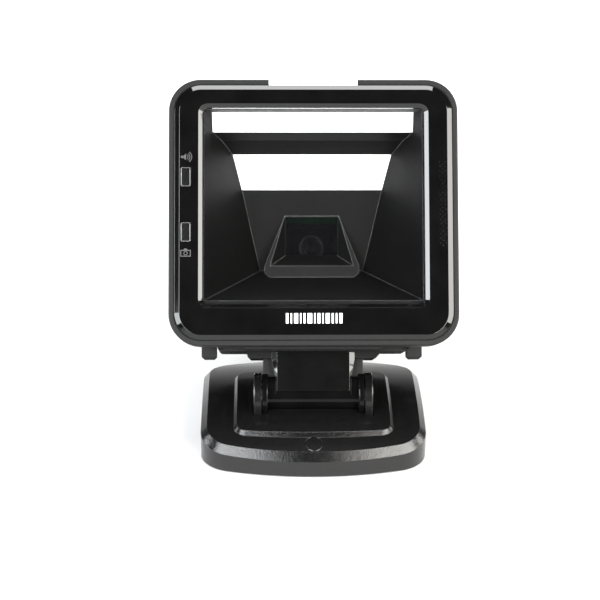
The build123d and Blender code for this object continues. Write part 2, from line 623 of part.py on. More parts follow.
def light_baffle():
    """The matte funnel, its mouth flange and the hood round the camera."""
    profile = polygon(cavity_profile())
    cavity = extrude(Plane.YZ * profile, 70, both=True) & side_walls()
    grown = offset(profile, BAFFLE_T, kind=Kind.INTERSECTION)
    outer = extrude(Plane.YZ * grown, 70, both=True) & side_walls(BAFFLE_T)
    outer &= block((-80, 80), (MOUTH_S, 70), (-70, 70))
    flange = slab_rounded(WINDOW_W + 2 * PANE_LAP - 1, WINDOW_H + 2 * PANE_LAP, WINDOW_R,
                          MOUTH_S, MOUTH_S + BAFFLE_T, 0, WINDOW_V)
    hood_outline = [(-HOOD_TOP_HALF, HOOD_TOP_V), (HOOD_TOP_HALF, HOOD_TOP_V),
                    (HOOD_OUT_HALF, HOOD_LOW_V), (HOOD_OUT_HALF, HOOD_LIP_V + 2.6),
                    (HOOD_OUT_HALF - 2.8, HOOD_LIP_V), (2.8 - HOOD_OUT_HALF, HOOD_LIP_V),
                    (-HOOD_OUT_HALF, HOOD_LIP_V + 2.6), (-HOOD_OUT_HALF, HOOD_LOW_V)]
    hood = slab(polygon(hood_outline), HOOD_S, 56) & outer
    rim, pane = sight()
    baffle = outer + flange - cavity + hood
    baffle -= loft([rim, pane], ruled=True)
    baffle -= extrude(pane, amount=-6)
    baffle -= diffuser(STRIP_TOP, STRIP_LOW)
    baffle -= diffuser(GLOW_TOP, GLOW_LOW)
    return baffle


def lens_barrel():
    """Threaded lens tube with a wide front rim."""
    tube = slab(Circle(LENS_R), LENS_S, LENS_S + LENS_L, 0, LENS_V)
    tube = chamfer(tube.faces().sort_by(Axis.Y)[0].edges(), 0.4)
    tube -= slab(Circle(3.4), LENS_S - 1, LENS_S + 20, 0, LENS_V)
    mouth = Plane((0, LENS_S, LENS_V), x_dir=(1, 0, 0), z_dir=(0, 1, 0)).location
    return tube - mouth * Cone(5.6, 3.4, 1.6, align=STAND_UP)


def lens_glass():
    """The front lens element, a shallow dome in the tube."""
    disc = slab(Circle(3.35), LENS_S + 1.7, LENS_S + 4.2, 0, LENS_V)
    return fillet(disc.faces().sort_by(Axis.Y)[0].edges(), 1.2)


def lens_holder():
    start = LENS_S + 4.5
    holder = slab(Circle(HOLDER_R), start, CAMERA_BOARD_S - 2, 0, LENS_V)
    holder += slab_rounded(22, 22, 2, CAMERA_BOARD_S - 2.5, CAMERA_BOARD_S, 0, LENS_V)
    holder -= slab(Circle(LENS_R), start - 1, LENS_S + LENS_L, 0, LENS_V)
    return holder - slab_rounded(12, 12, 1, LENS_S + LENS_L - 0.5, 70, 0, LENS_V)


def board(width, height, s, u=0.0, v=0.0):
    return slab_rounded(width, height, 1.0, s, s + BOARD_T, u, v)


def row_of(count, pitch):
    """Evenly spaced places about zero."""
    return [(index - (count - 1) / 2) * pitch for index in range(count)]


def led(u, v, plane_s):
    """A small square lamp with a domed lens, standing on a board's front."""
    body = slab_rounded(2.8, 2.8, 0.3, plane_s - 0.9, plane_s, u, v)
    lens = slab(Circle(1.1), plane_s - 1.2, plane_s - 0.8, u, v)
    return body + lens


GLOW_LEAN = degrees(atan2(GLOW_LOW[0] - GLOW_TOP[0], GLOW_TOP[1] - GLOW_LOW[1]))
GLOW_MID = ((GLOW_TOP[0] + GLOW_LOW[0]) / 2, (GLOW_TOP[1] + GLOW_LOW[1]) / 2)


def behind_glow(shape):
    """Leans a piece drawn about the origin to lie behind the lower diffuser."""
    return Pos(0, GLOW_MID[0], GLOW_MID[1]) * Rot(GLOW_LEAN, 0, 0) * shape


def speaker():
    """Slim box speaker behind the grille holes, with an oval cone let into its front."""
    u, front = GRILLE_U - 0.2, BEZEL_BACK + 0.9
    box = slab_rounded(8.6, 40, 1.5, front, front + 6.5, u, GRILLE_V)
    box -= slab(SlotOverall(34, 6.4, rotation=90), front - 1, front + 1.2, u, GRILLE_V)
    cone = slab(SlotOverall(30, 3.6, rotation=90), front + 0.5, front + 1.2, u, GRILLE_V)
    return box + cone


def main_board():
    panel = board(MAIN_W, MAIN_H, MAIN_S)
    for u in (-MAIN_SCREW_U, MAIN_SCREW_U):
        for v in (-MAIN_SCREW_V, MAIN_SCREW_V):
            panel -= slab(Circle(1.3), 0, 80, u, v)
    return panel


def main_board_screws():
    found = []
    for u in (-MAIN_SCREW_U, MAIN_SCREW_U):
        for v in (-MAIN_SCREW_V, MAIN_SCREW_V):
            found.append(face_plane(u, MAIN_S, v).location * screw(4.5, 1.1, 2.2, 1.3))
    return found


def board_chips():
    """Processor, memory, power parts and connectors on the main board's front."""
    chips = [(14, 14, 1.2, 26, 8), (9, 11, 1.0, 27, -12), (7, 7, 1.2, -26, 14),
             (6, 5, 1.4, -28, -4), (16, 5, 1.5, -8, 27), (12, 5, 1.5, 18, 27)]
    return [slab_rounded(w, h, 0.3, MAIN_S - t, MAIN_S, u, v) for w, h, t, u, v in chips]


def cable_socket():
    """Ten-way modular socket that opens to the rear, with its latch slot below."""
    mouth = HEAD_DEPTH - 0.6
    body = slab_rounded(SOCKET_W, SOCKET_H, 0.6, mouth - SOCKET_L, HEAD_DEPTH - SHELL, 0,
                        SOCKET_V)
    body += slab_rounded(SOCKET_W - 2.2, SOCKET_H - 2.8, 0.8, mouth - SOCKET_L + 1, mouth, 0,
                         SOCKET_V)
    body -= block((-JACK_W / 2, JACK_W / 2), (mouth - JACK_DEPTH, mouth + 1),
                  (SOCKET_V - JACK_H / 2, SOCKET_V + JACK_H / 2))
    return body - block((-3.1, 3.1), (mouth - 8, mouth + 1),
                        (SOCKET_V - JACK_H / 2 - 1.2, SOCKET_V))


def socket_contacts():
    """Spring contacts that slope down from the socket's roof."""
    mouth = HEAD_DEPTH - 0.6
    roof = SOCKET_V + JACK_H / 2
    profile = [(mouth - 3.0, roof), (mouth - 3.5, roof), (mouth - 10.5, roof - 2.4),
               (mouth - 10.2, roof - 2.7)]
    wire = extrude(Plane.YZ * polygon(profile), 0.18, both=True)
    return [Pos(u, 0, 0) * wire for u in row_of(CONTACTS, 1.02)]


def head_feet():
    """Rubber stops under the head's rear corners."""
    form = head_form(0, 0, HEAD_DEPTH)
    low = -HEAD_H / 2 - HEAD_FOOT_DROP
    feet = []
    for side in (-1, 1):
        foot = block((-HEAD_FOOT_HALF, HEAD_FOOT_HALF), (-5, 5), (0, 11))
        foot = chamfer(foot.edges().group_by(Axis.Z)[0], 1.4)
        foot = Pos(side * HEAD_FOOT_U, HEAD_FOOT_S, low) * foot
        feet.append(foot - form)
    return feet


def housing_screws():
    found = []
    for u, v in screw_wells():
        back = Plane((u, WELL_S, v), x_dir=(1, 0, 0), z_dir=(0, 1, 0))
        found.append(back.location * screw(11.0, head_t=2.2))
    return found


# ---------------------------------------------------------------- foot and hinge nodes

save("base_cover", base_cover())
save("screw_cover_cap", screw_cover_cap())
save("cap_screw", cap_screw())
save("base_plate", base_plate())
save("base_pad", base_pad())
save("base_weight", base_weight())
save("base_screws", *[Pos(x, y, PAD_T) * flat_screw(8.0)
                      for x in (-POST_X, POST_X) for y in (-POST_Y, POST_Y)])
save("left_hinge_ear", ear(-1))
save("right_hinge_ear", ear(1))
save("ear_screws", *ear_screws())
save("hinge_shaft", hinge_shaft())
save("hinge_spring_washers", *both_ends(spring_washer))
save("hinge_nuts", *both_ends(lock_nut))
save("hinge_end_caps", *both_ends(end_cap))
save("friction_washers", *both_ends(friction_washer))

# ---------------------------------------------------------------- neck nodes

save("arm_frame", on_neck(arm_frame()))
save("arm_front_cover", on_neck(arm_front_cover()))
save("arm_rear_cover", on_neck(arm_rear_cover()))
save("arm_screws", *[on_neck(piece) for piece in arm_screws()])
save("arm_bolts", *[on_neck(piece) for piece in arm_bolts()])
save("neck_plate", on_neck(neck_plate()))
save("neck_plate_screws", *[on_neck(piece) for piece in neck_plate_screws()])

# ---------------------------------------------------------------- head nodes

save("rear_housing", on_head(rear_housing()))
save("front_bezel", on_head(front_bezel()))
save("window_pane", on_head(window_pane()))
save("window_gasket", on_head(window_frame(0.1, PANE_LAP - 0.2, PANE_S + PANE_T, MOUTH_S)))
save("light_baffle", on_head(light_baffle()))
save("strip_diffuser", on_head(diffuser(STRIP_TOP, STRIP_LOW)))
save("panel_diffuser", on_head(diffuser(GLOW_TOP, GLOW_LOW)))
save("camera_window", on_head(camera_window()))
save("lens_barrel", on_head(lens_barrel()))
save("lens_glass", on_head(lens_glass()))
save("lens_holder", on_head(lens_holder()))
save("camera_board", on_head(board(28, 28, CAMERA_BOARD_S, 0, LENS_V)))
save("image_sensor", on_head(slab_rounded(8, 6.4, 0.3, CAMERA_BOARD_S - 1.1, CAMERA_BOARD_S, 0,
                                          LENS_V)))
save("strip_led_board", on_head(board(100, 8, 18.0, 0, 49.4)))
save("strip_leds", *[on_head(led(u, 49.4, 18.0)) for u in row_of(10, 10.0)])
save("panel_led_board", on_head(behind_glow(board(68, 15, BAFFLE_T + 6.0))))
save("panel_leds", *[on_head(behind_glow(led(u, v, BAFFLE_T + 6.0)))
                     for v in (-3.6, 3.6) for u in row_of(7, 9.2)])
save("main_board", on_head(main_board()))
save("main_board_screws", *[on_head(piece) for piece in main_board_screws()])
save("board_chips", *[on_head(piece) for piece in board_chips()])
save("speaker", on_head(speaker()))
save("status_light_bar", on_head(status_light_bar()))
save("status_led_board", on_head(block((-20, 20), (5, 12), (61.4, 62.8))))
save("status_leds", *[on_head(block((u - 1.4, u + 1.4), (7, 9.8), (62.8, 63.8)))
                      for u in row_of(4, 10.0)])
save("key_board", on_head(board(8.0, 44, BEZEL_BACK + 4.4, KEY_U, sum(KEY_VS.values()) / 2)))
save("key_switches", *[on_head(slab_rounded(4.4, 4.4, 0.4, BEZEL_BACK + 2.9, BEZEL_BACK + 4.4,
                                            KEY_U, v)
                               + slab(Circle(1.3), BEZEL_BACK + 1.8 + KEY_TRAVEL, BEZEL_BACK + 3,
                                      KEY_U, v))
                       for v in KEY_VS.values()])
save("cable_socket", on_head(cable_socket()))
save("socket_contacts", *[on_head(piece) for piece in socket_contacts()])
save("head_feet", *[on_head(piece) for piece in head_feet()])
save("housing_screws", *[on_head(piece) for piece in housing_screws()])
for name, v in KEY_VS.items():
    save(name, on_head(key(v)))
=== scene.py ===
import json
from math import cos, pi, radians, sin

import bmesh
import bpy
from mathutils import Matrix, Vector


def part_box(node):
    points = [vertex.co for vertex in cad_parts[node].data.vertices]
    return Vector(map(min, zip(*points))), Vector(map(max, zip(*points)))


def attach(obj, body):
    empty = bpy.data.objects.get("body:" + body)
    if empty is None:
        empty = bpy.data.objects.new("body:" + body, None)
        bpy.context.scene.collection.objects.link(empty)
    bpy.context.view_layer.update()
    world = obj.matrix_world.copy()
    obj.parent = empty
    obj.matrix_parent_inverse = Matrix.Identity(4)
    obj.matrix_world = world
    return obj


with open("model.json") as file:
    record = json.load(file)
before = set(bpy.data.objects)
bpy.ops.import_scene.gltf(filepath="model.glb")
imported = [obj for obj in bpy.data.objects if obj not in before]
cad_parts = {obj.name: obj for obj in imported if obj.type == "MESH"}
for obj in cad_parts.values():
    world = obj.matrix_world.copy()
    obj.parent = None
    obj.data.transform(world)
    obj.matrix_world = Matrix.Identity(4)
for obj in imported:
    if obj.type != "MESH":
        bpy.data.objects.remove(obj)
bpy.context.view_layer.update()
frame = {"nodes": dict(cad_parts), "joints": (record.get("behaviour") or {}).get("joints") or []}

NODES = frame["nodes"]
MM = 0.001


# ---------------------------------------------------------------- node helpers

class Shade:
    """Builds one node material, from its texture coordinates to the shader."""

    def __init__(self, name):
        self.mat = bpy.data.materials.new(name)
        self.mat.use_nodes = True
        self.tree = self.mat.node_tree
        self.tree.nodes.clear()
        self.out = self.add("ShaderNodeOutputMaterial")
        self.bsdf = self.add("ShaderNodeBsdfPrincipled")
        self.join(self.bsdf, "BSDF", self.out, "Surface")
        self.place = self.add("ShaderNodeTexCoord")

    def add(self, kind, **values):
        node = self.tree.nodes.new(kind)
        for key, value in values.items():
            setattr(node, key, value)
        return node

    def join(self, source, out, target, into):
        """Links two sockets, each given by its name or number."""
        self.tree.links.new(source.outputs[out], target.inputs[into])

    def set(self, **sockets):
        """Sets constant values on the shader, by short names."""
        names = {"base": "Base Color", "rough": "Roughness", "metal": "Metallic", "ior": "IOR",
                 "coat": "Coat Weight", "coat_rough": "Coat Roughness", "alpha": "Alpha",
                 "glow": "Emission Strength", "spec": "Specular IOR Level",
                 "sub": "Subsurface Weight", "sub_scale": "Subsurface Scale"}
        for key, value in sockets.items():
            self.bsdf.inputs[names[key]].default_value = value
        return self

    def noise(self, scale, detail=3.0, rough=0.5, distortion=0.0, stretch=None):
        node = self.add("ShaderNodeTexNoise")
        node.inputs["Scale"].default_value = scale
        node.inputs["Detail"].default_value = detail
        node.inputs["Roughness"].default_value = rough
        node.inputs["Distortion"].default_value = distortion
        self.feed(node, stretch)
        return node

    def cells(self, scale):
        node = self.add("ShaderNodeTexVoronoi")
        node.inputs["Scale"].default_value = scale
        self.feed(node)
        return node

    def feed(self, node, stretch=None):
        """Feeds object coordinates to a texture, scaled along each axis by stretch."""
        if stretch is None:
            self.join(self.place, "Object", node, "Vector")
            return
        mapping = self.add("ShaderNodeMapping")
        mapping.inputs["Scale"].default_value = stretch
        self.join(self.place, "Object", mapping, "Vector")
        self.join(mapping, "Vector", node, "Vector")

    def spread(self, source, low, high, out_name="Fac", start=0.3, end=0.7):
        """Maps the span from start to end to the span from low to high."""
        node = self.add("ShaderNodeMapRange")
        node.inputs["From Min"].default_value = start
        node.inputs["From Max"].default_value = end
        node.inputs["To Min"].default_value = low
        node.inputs["To Max"].default_value = high
        self.join(source, out_name, node, "Value")
        return node

    def ramp(self, source, stops, out_name="Fac"):
        node = self.add("ShaderNodeValToRGB")
        elements = node.color_ramp.elements
        while len(elements) < len(stops):
            elements.new(0.5)
        for element, (at, color) in zip(elements, stops):
            element.position = at
            element.color = (*color, 1.0)
        self.join(source, out_name, node, "Fac")
        return node

    def soft_edges(self, radius_mm):
        """Rounded normals along the edges, and a mask that is one on them."""
        bevel = self.add("ShaderNodeBevel", samples=4)
        bevel.inputs["Radius"].default_value = radius_mm * MM
        flat = self.add("ShaderNodeNewGeometry")
        dot = self.add("ShaderNodeVectorMath", operation="DOT_PRODUCT")
        self.tree.links.new(bevel.outputs["Normal"], dot.inputs[0])
        self.tree.links.new(flat.outputs["Normal"], dot.inputs[1])
        return bevel, self.spread(dot, 1.0, 0.0, "Value", 0.965, 0.999)

    def lighten_edges_wear_and_highlight(self, tint, mask, edge_wear_and_highlight_tone):
        """Lightens the edges, broken up by fine noise: part edge wear, part painted highlight.
        """
        patchy = self.add("ShaderNodeMath", operation="MULTIPLY")
        self.join(mask, "Result", patchy, 0)
        self.join(self.spread(self.noise(700, 3), 0.45, 1.0), "Result", patchy, 1)
        mix = self.add("ShaderNodeMix", data_type="RGBA")
        self.join(patchy, "Value", mix, 0)
        self.join(tint, "Color", mix, 6)
        mix.inputs[7].default_value = grey(edge_wear_and_highlight_tone)
        self.join(mix, 2, self.bsdf, "Base Color")

    def bump(self, source, strength, distance_mm, out_name="Fac", below=None):
        node = self.add("ShaderNodeBump")
        node.inputs["Strength"].default_value = strength
        node.inputs["Distance"].default_value = distance_mm * MM
        self.join(source, out_name, node, "Height")
        if below is not None:
            self.join(below, "Normal", node, "Normal")
        self.join(node, "Normal", self.bsdf, "Normal")
        return node


def grey(value):
    return (value, value, value, 1.0)


def gloss_plastic(name, tone, rough, ripple=0.02, edge_mm=0.2, edge_wear_and_highlight_tone=0.015, sheen=0.5):
    """Polished moulded plastic: faint flow ripple, finger-wipe haze and fine hairlines."""
    m = Shade(name).set(ior=1.5, spec=sheen)
    haze = m.noise(38, 4, 0.6, 0.4)
    m.join(m.spread(haze, rough[0], rough[1]), "Result", m.bsdf, "Roughness")
    tint = m.ramp(m.noise(90, 2), [(0.3, (tone * 0.8,) * 3), (0.7, (tone * 1.25,) * 3)])
    edge, mask = m.soft_edges(edge_mm)
    m.lighten_edges_wear_and_highlight(tint, mask, edge_wear_and_highlight_tone)
    flow = m.bump(m.noise(24, 2, 0.4), ripple, 0.05, below=edge)
    m.bump(m.noise(900, 2, 0.5, 0.0, (1.0, 0.12, 0.3)), 0.012, 0.02, below=flow)
    return m.mat


def foot_plastic(name, tone):
    """Polished crown with a fine spark-eroded grain on the bevels and the side wall."""
    m = Shade(name).set(ior=1.5)
    tint = m.ramp(m.noise(240, 4, 0.7), [(0.3, (tone * 0.8,) * 3), (0.7, (tone * 1.3,) * 3)])
    edge, mask = m.soft_edges(0.3)
    m.lighten_edges_wear_and_highlight(tint, mask, 0.02)
    facing = m.add("ShaderNodeNewGeometry")
    split = m.add("ShaderNodeSeparateXYZ")
    m.join(facing, "Normal", split, "Vector")
    steep = m.spread(split, 1.0, 0.0, "Z", 0.78, 0.93)
    m.join(m.spread(steep, 0.19, 0.12, "Result", 0.0, 1.0), "Result", m.bsdf, "Roughness")
    grain = m.bump(m.noise(1150, 2, 0.6), 0.5, 0.13, below=edge)
    m.join(m.spread(steep, 0.04, 0.9, "Result", 0.0, 1.0), "Result", grain, "Strength")
    return m.mat


def grained_plastic(name, tone, rough, grain, size, sheen, edge_mm=0.3, edge_wear_and_highlight_tone=0.025):
    """Moulded plastic with a spark-eroded grain."""
    m = Shade(name).set(ior=1.46, spec=sheen)
    pits = m.cells(size)
    fine = m.noise(size * 1.4, 3, 0.6)
    m.join(m.spread(fine, rough[0], rough[1]), "Result", m.bsdf, "Roughness")
    low, high = tone * 0.78, tone * 1.3
    tint = m.ramp(m.noise(size * 0.5, 4, 0.7),
                  [(0.3, (low,) * 3), (0.75, (high,) * 3)])
    edge, mask = m.soft_edges(edge_mm)
    m.lighten_edges_wear_and_highlight(tint, mask, edge_wear_and_highlight_tone)
    base = m.bump(pits, grain, 0.06, "Distance", below=edge)
    m.bump(fine, grain * 0.6, 0.03, below=base)
    return m.mat


def rubber(name, tone):
    """Dull mottled rubber or foam."""
    m = Shade(name).set(ior=1.5, spec=0.35)
    mottle = m.noise(420, 4, 0.65)
    tint = m.ramp(mottle, [(0.25, (tone * 0.7,) * 3), (0.8, (tone * 1.6,) * 3)])
    m.join(tint, "Color", m.bsdf, "Base Color")
    m.join(m.spread(mottle, 0.7, 0.9), "Result", m.bsdf, "Roughness")
    m.bump(m.noise(1500, 3, 0.6), 0.3, 0.05)
    return m.mat


def milky_plastic(name, glow, tone=0.9):
    """Translucent white plastic with a faint flow variation and a painted glow that keeps it
    white.
    """
    m = Shade(name).set(rough=0.35, ior=1.46, sub=0.25, sub_scale=0.002)
    m.bsdf.inputs["Subsurface Radius"].default_value = (1.0, 1.0, 0.9)
    cloud = m.noise(70, 3, 0.5)
    tint = m.ramp(cloud, [(0.2, (tone * 0.965, tone * 0.97, tone * 0.975)), (0.8, (tone,) * 3)])
    m.join(tint, "Color", m.bsdf, "Base Color")
    m.join(tint, "Color", m.bsdf, "Emission Color")
    m.set(glow=glow)
    m.bump(m.noise(1800, 2, 0.5), 0.08, 0.02)
    return m.mat


def metal(name, color, rough=(0.22, 0.4), brushed=(1.0, 1.0, 1.0), size=600):
    """Bare metal with fine streaks, stretched along the axis with the small number."""
    m = Shade(name).set(metal=1.0)
    streak = m.noise(size, 4, 0.6, 0.0, brushed)
    low = tuple(c * 0.82 for c in color)
    m.join(m.ramp(streak, [(0.3, low), (0.7, color)]), "Color", m.bsdf, "Base Color")
    m.join(m.spread(streak, rough[0], rough[1]), "Result", m.bsdf, "Roughness")
    m.bump(streak, 0.12, 0.02)
    return m.mat


def cast_iron(name):
    """Dark lumpy casting."""
    m = Shade(name).set(metal=0.8)
    lumps = m.noise(260, 5, 0.7)
    m.join(m.ramp(lumps, [(0.3, (0.05,) * 3), (0.7, (0.13, 0.125, 0.12))]), "Color", m.bsdf,
           "Base Color")
    m.join(m.spread(lumps, 0.55, 0.8), "Result", m.bsdf, "Roughness")
    m.bump(lumps, 0.5, 0.2)
    return m.mat


def board_mask(name, shades):
    """Solder mask with faint copper tracks showing through."""
    m = Shade(name).set(ior=1.5)
    tracks = m.add("ShaderNodeTexBrick")
    tracks.inputs["Scale"].default_value = 420
    tracks.inputs["Mortar Size"].default_value = 0.03
    for socket, shade in zip(("Color1", "Color2", "Mortar"), shades):
        tracks.inputs[socket].default_value = (*shade, 1)
    m.feed(tracks)
    m.join(tracks, "Color", m.bsdf, "Base Color")
    m.join(m.spread(m.noise(300), 0.25, 0.4), "Result", m.bsdf, "Roughness")
    m.bump(tracks, 0.1, 0.02)
    return m.mat


def clear_window(name):
    """A hard clear pane: see-through, with a mirror share that grows at a slant."""
    m = Shade(name).set(base=(1, 1, 1, 1), metal=1.0, spec=0.5)
    slant = m.add("ShaderNodeFresnel")
    slant.inputs["IOR"].default_value = 1.45
    m.join(slant, "Fac", m.bsdf, "Alpha")
    m.join(m.spread(m.noise(30, 3), 0.01, 0.03), "Result", m.bsdf, "Roughness")
    return m.mat


def smoked_window(name):
    """A dark pane that lets some light through."""
    m = Shade(name).set(base=(0.004, 0.004, 0.005, 1), ior=1.5, alpha=0.47, spec=0.2)
    m.join(m.spread(m.noise(60, 3), 0.04, 0.1), "Result", m.bsdf, "Roughness")
    m.bump(m.noise(40, 2), 0.01, 0.02)
    return m.mat


def coated_lens(name):
    """Lens glass with a faint violet coating."""
    m = Shade(name).set(ior=1.7, coat=1.0, coat_rough=0.02)
    rings = m.ramp(m.noise(120, 2), [(0.3, (0.004, 0.005, 0.012)), (0.7, (0.01, 0.008, 0.02))])
    m.join(rings, "Color", m.bsdf, "Base Color")
    m.join(m.spread(m.noise(50), 0.02, 0.05), "Result", m.bsdf, "Roughness")
    return m.mat


GLOSS = gloss_plastic("gloss_black", tone=0.003, rough=(0.07, 0.13))
BEZEL = gloss_plastic("bezel_gloss", tone=0.002, rough=(0.03, 0.06), ripple=0.012,
                      edge_mm=0.12, edge_wear_and_highlight_tone=0.006)
FOOT = foot_plastic("foot_gloss", tone=0.003)
SATIN = grained_plastic("satin_black", tone=0.006, rough=(0.45, 0.58), grain=0.3, size=1700,
                        sheen=0.22)
DARK = grained_plastic("dark_mould", tone=0.003, rough=(0.38, 0.5), grain=0.15, size=1700,
                       sheen=0.14)
ARM = gloss_plastic("arm_gloss", tone=0.002, rough=(0.12, 0.18), edge_wear_and_highlight_tone=0.01, sheen=0.16)
HINGE = gloss_plastic("hinge_gloss", tone=0.003, rough=(0.2, 0.3), edge_wear_and_highlight_tone=0.008, sheen=0.3)
# The funnel's edges and creases are lightened far above its tone: a painted highlight along
# them.
FUNNEL = grained_plastic("funnel_matte", tone=0.0035, rough=(0.42, 0.55), grain=0.2, size=1500,
                         sheen=0.2, edge_mm=0.5, edge_wear_and_highlight_tone=0.16)
# The keys' edges are lightened to a pale grey: a painted highlight along their outlines.
KEYS = gloss_plastic("key_gloss", tone=0.004, rough=(0.12, 0.2), edge_mm=0.3, edge_wear_and_highlight_tone=0.5)
RUBBER = rubber("soft_rubber", 0.007)
FOAM = rubber("foam", 0.035)
STEEL = metal("zinc_steel", (0.55, 0.55, 0.57))
SHAFT = metal("ground_steel", (0.6, 0.6, 0.62), (0.15, 0.3), (0.1, 1, 1), 1500)
GOLD = metal("gold_flash", (0.85, 0.62, 0.25), (0.12, 0.25))
LENS_METAL = metal("black_anodised", (0.14, 0.14, 0.15), (0.3, 0.45))
IRON = cast_iron("ballast_iron")
BOARD = board_mask("board_green", [(0.008, 0.075, 0.03), (0.01, 0.09, 0.036),
                                  (0.03, 0.16, 0.07)])
CAMERA_BOARD = board_mask("board_black", [(0.006,) * 3, (0.008,) * 3, (0.02,) * 3])
CHIP = grained_plastic("chip_mould", tone=0.02, rough=(0.5, 0.65), grain=0.2, size=2500,
                       sheen=0.3)
# The diffusers and the status bar carry a painted glow that keeps them bright white.
MILKY = milky_plastic("diffuser_white", 0.9)
STATUS = milky_plastic("status_white", 0.7)
LAMP = milky_plastic("lamp_lens", 0.8, 0.85)
PANE = clear_window("clear_window")
SMOKED = smoked_window("smoked_window")
LENS = coated_lens("coated_lens")

FINISH = {
    FOOT: ["base_cover", "screw_cover_cap"],
    GLOSS: ["arm_front_cover"],
    HINGE: ["left_hinge_ear", "right_hinge_ear"],
    ARM: ["arm_frame"],
    DARK: ["neck_plate"],
    BEZEL: ["front_bezel"],
    SATIN: ["rear_housing", "arm_rear_cover", "hinge_end_caps", "lens_holder", "speaker",
            "cable_socket"],
    FUNNEL: ["light_baffle"],
    KEYS: ["volume_key", "camera_key"],
    RUBBER: ["base_pad", "head_feet"],
    FOAM: ["window_gasket"],
    STEEL: ["cap_screw", "base_plate", "base_screws", "ear_screws", "hinge_spring_washers",
            "hinge_nuts", "friction_washers", "arm_screws", "arm_bolts", "neck_plate_screws",
            "main_board_screws", "housing_screws"],
    SHAFT: ["hinge_shaft"],
    GOLD: ["socket_contacts"],
    LENS_METAL: ["lens_barrel"],
    IRON: ["base_weight"],
    BOARD: ["strip_led_board", "panel_led_board", "main_board", "status_led_board",
            "key_board"],
    CAMERA_BOARD: ["camera_board"],
    CHIP: ["image_sensor", "board_chips", "key_switches"],
    MILKY: ["strip_diffuser", "panel_diffuser"],
    STATUS: ["status_light_bar"],
    LAMP: ["strip_leds", "panel_leds", "status_leds"],
    PANE: ["window_pane"],
    SMOKED: ["camera_window"],
    LENS: ["lens_glass"],
}


def dress_nodes():
    """Gives every CAD node its one material."""
    for material, names in FINISH.items():
        for name in names:
            mesh = NODES[name].data
            mesh.materials.clear()
            mesh.materials.append(material)
            mesh.polygons.foreach_set("material_index", [0] * len(mesh.polygons))


# ---------------------------------------------------------------- printed marks

# How far the ink stands out of the bezel and reaches into it, in millimetres.
PRINT_OUT, PRINT_IN = 0.04, 0.03
VOLUME_ICON_V, CAMERA_ICON_V = 28.4, -21.6
MARK_V, MARK_HALF_W, MARK_HALF_H = -55.2, 14.5, 2.6
WHITE_INK, FAINT_INK = 0.85, 0.035


class Face:
    """The bezel's front plane, taken from the keys' sliding axis and the bezel's vertices."""

    def __init__(self):
        axis = next(j["axis"] for j in frame["joints"] if j["name"] == "volume_key_press")
        self.back = Vector(axis).normalized()
        self.right = Vector((1, 0, 0))
        self.up = self.right.cross(self.back)
        places = [vertex.co for vertex in NODES["front_bezel"].data.vertices]
        self.front = min(place.dot(self.back) for place in places)
        heights = [place.dot(self.up) for place in places]
        self.middle = (min(heights) + max(heights)) / 2

    def point(self, u, v, proud):
        """A place u across, v up and proud out of the plane, in millimetres."""
        return (self.right * u * MM + self.up * (self.middle + v * MM)
                + self.back * (self.front - proud * MM))


def printed(face, name, shapes, material):
    """Ink shapes with a little thickness on the bezel's front."""
    mesh = bmesh.new()
    for shape in shapes:
        front = [mesh.verts.new(face.point(u, v, PRINT_OUT)) for u, v in shape]
        back = [mesh.verts.new(face.point(u, v, -PRINT_IN)) for u, v in shape]
        mesh.faces.new(front)
        mesh.faces.new(back[::-1])
        for i in range(len(shape)):
            j = (i + 1) % len(shape)
            mesh.faces.new([front[i], back[i], back[j], front[j]])
    bmesh.ops.recalc_face_normals(mesh, faces=mesh.faces)
    data = bpy.data.meshes.new(name)
    mesh.to_mesh(data)
    mesh.free()
    piece = bpy.data.objects.new(name, data)
    bpy.context.scene.collection.objects.link(piece)
    data.materials.append(material)
    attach(piece, "head")


def arc_points(u, v, radius, start, end, count):
    """Points on an arc from start to end, in degrees."""
    turns = [radians(start + (end - start) * i / (count - 1)) for i in range(count)]
    return [(u + radius * cos(turn), v + radius * sin(turn)) for turn in turns]


def arc_band(u, v, radius, width, start, end, count=9):
    """A curved stroke as one outline."""
    outer = arc_points(u, v, radius + width / 2, start, end, count)
    inner = arc_points(u, v, radius - width / 2, start, end, count)
    return outer + inner[::-1]


def rectangle(u0, u1, v0, v1):
    """An upright box as one outline."""
    return [(u0, v0), (u1, v0), (u1, v1), (u0, v1)]


def speaker_icon(u, v):
    """A loudspeaker with three sound waves."""
    box = rectangle(u - 2.8, u - 1.5, v - 0.65, v + 0.65)
    cone = [(u - 1.4, v - 0.65), (u - 0.1, v - 1.7), (u - 0.1, v + 1.7), (u - 1.4, v + 0.65)]
    waves = [arc_band(u - 0.4, v, radius, 0.42, -52, 52) for radius in (1.3, 2.25, 3.2)]
    return [box, cone] + waves


def camera_icon(u, v):
    """A camera body with its finder and lens ring."""
    half_w, half_h, line = 2.7, 1.75, 0.5
    frame_bars = [rectangle(u - half_w, u + half_w, v - half_h, v - half_h + line),
                  rectangle(u - half_w, u + half_w, v + half_h - line, v + half_h),
                  rectangle(u - half_w, u - half_w + line, v - half_h + line, v + half_h - line),
                  rectangle(u + half_w - line, u + half_w, v - half_h + line, v + half_h - line)]
    finder = [(u - 1.1, v + half_h), (u + 1.1, v + half_h), (u + 0.7, v + half_h + 0.7),
              (u - 0.7, v + half_h + 0.7)]
    ring = [arc_band(u, v, 0.9, 0.4, start, start + 180, 11) for start in (0, 180)]
    return frame_bars + [finder] + ring


